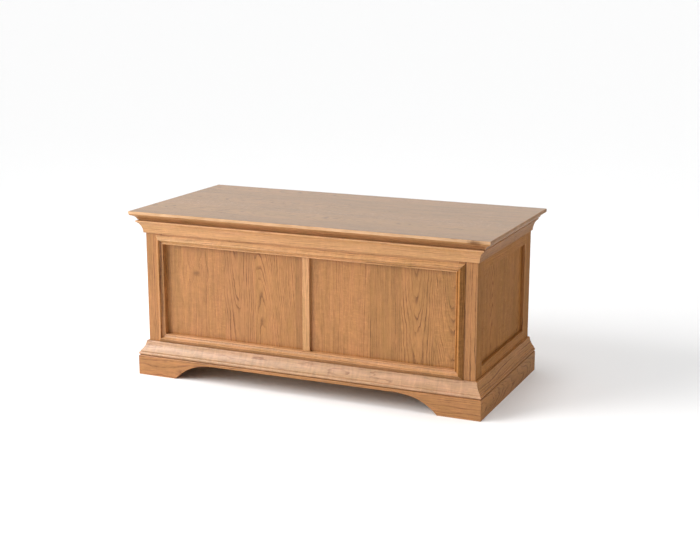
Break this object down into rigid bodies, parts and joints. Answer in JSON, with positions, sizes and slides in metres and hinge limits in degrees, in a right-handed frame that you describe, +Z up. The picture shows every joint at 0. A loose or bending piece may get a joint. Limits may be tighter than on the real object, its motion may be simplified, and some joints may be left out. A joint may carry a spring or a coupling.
{
  "type": "wooden chest",
  "caption": "Long low oak chest with panelled sides, moulded cornice and base on bracket feet, and a hinged lid with moulded edge over one open compartment.",
  "frame": {"origin": "on the floor, under the middle of the object's plan", "axes": "+X along the length to the right seen from the front, +Y to the rear, +Z up; the panelled front faces -Y"},
  "size_m": [1.12, 0.543, 0.5],
  "materials": {
    "oak": "satin lacquered solid oak, warm honey, grain along each piece",
    "oak_panel": "satin lacquered oak panel of vertical staves",
    "oak_top": "satin lacquered oak top, lengthwise staves",
    "inner_wood": "plain sanded pale boards",
    "brass": "satin brass",
    "steel": "brushed zinc-plated steel",
    "felt": "dark felt"
  },
  "bodies": {
    "carcass": {"post_front_left": "oak", "post_front_right": "oak", "post_rear_left": "oak", "post_rear_right": "oak", "rail_front_top": "oak", "rail_front_bottom": "oak", "muntin_front": "oak", "panel_front_left": "oak_panel", "panel_front_right": "oak_panel", "panel_moulding_top": "oak", "panel_moulding_bottom": "oak", "panel_moulding_left": "oak", "panel_moulding_right": "oak", "rail_left_top": "oak", "rail_left_bottom": "oak", "panel_left": "oak_panel", "rail_right_top": "oak", "rail_right_bottom": "oak", "panel_right": "oak_panel", "rail_rear_top": "oak", "rail_rear_bottom": "oak", "muntin_rear": "oak", "panel_rear_left": "oak_panel", "panel_rear_right": "oak_panel", "cornice_front": "oak", "cornice_left": "oak", "cornice_right": "oak", "base_moulding_front": "oak", "base_moulding_left": "oak", "base_moulding_right": "oak", "plinth_front": "oak", "plinth_left": "oak", "plinth_right": "oak", "floor_board_1": "inner_wood", "floor_board_2": "inner_wood", "floor_board_3": "inner_wood", "floor_board_4": "inner_wood", "floor_cleat_front": "inner_wood", "floor_cleat_rear": "inner_wood", "floor_cleat_left": "inner_wood", "floor_cleat_right": "inner_wood", "hinge_left_rear_leaf": "brass", "hinge_left_pin": "brass", "stay_left_stud": "steel", "hinge_right_rear_leaf": "brass", "hinge_right_pin": "brass", "stay_right_stud": "steel"},
    "lid": {"lid": "oak_top", "lid_batten_left": "oak", "lid_batten_right": "oak", "lid_bumper_left": "felt", "lid_bumper_right": "felt", "hinge_left_lid_leaf": "brass", "stay_left_lid_bracket": "steel", "hinge_right_lid_leaf": "brass", "stay_right_lid_bracket": "steel"},
    "stay_left": {"stay_left_arm": "steel"},
    "stay_right": {"stay_right_arm": "steel"}
  },
  "joints": [
    {"name": "lid_hinge", "type": "hinge", "parent": "carcass", "child": "lid", "pos_m": [0, 0.261, 0.469], "axis": [-1, 0, 0], "range_deg": [0, 95]},
    {"name": "stay_left_pivot", "type": "hinge", "parent": "lid", "child": "stay_left", "pos_m": [-0.4845, 0.0814, 0.457], "axis": [-1, 0, 0], "range_deg": [-47.5, 0]},
    {"name": "stay_right_pivot", "type": "hinge", "parent": "lid", "child": "stay_right", "pos_m": [0.4845, 0.0814, 0.457], "axis": [-1, 0, 0], "range_deg": [-47.5, 0]}
  ],
  "couplings": [
    {"joint": "stay_left_pivot", "follows": "lid_hinge", "ratio": -0.5},
    {"joint": "stay_right_pivot", "follows": "lid_hinge", "ratio": -0.5}
  ]
}
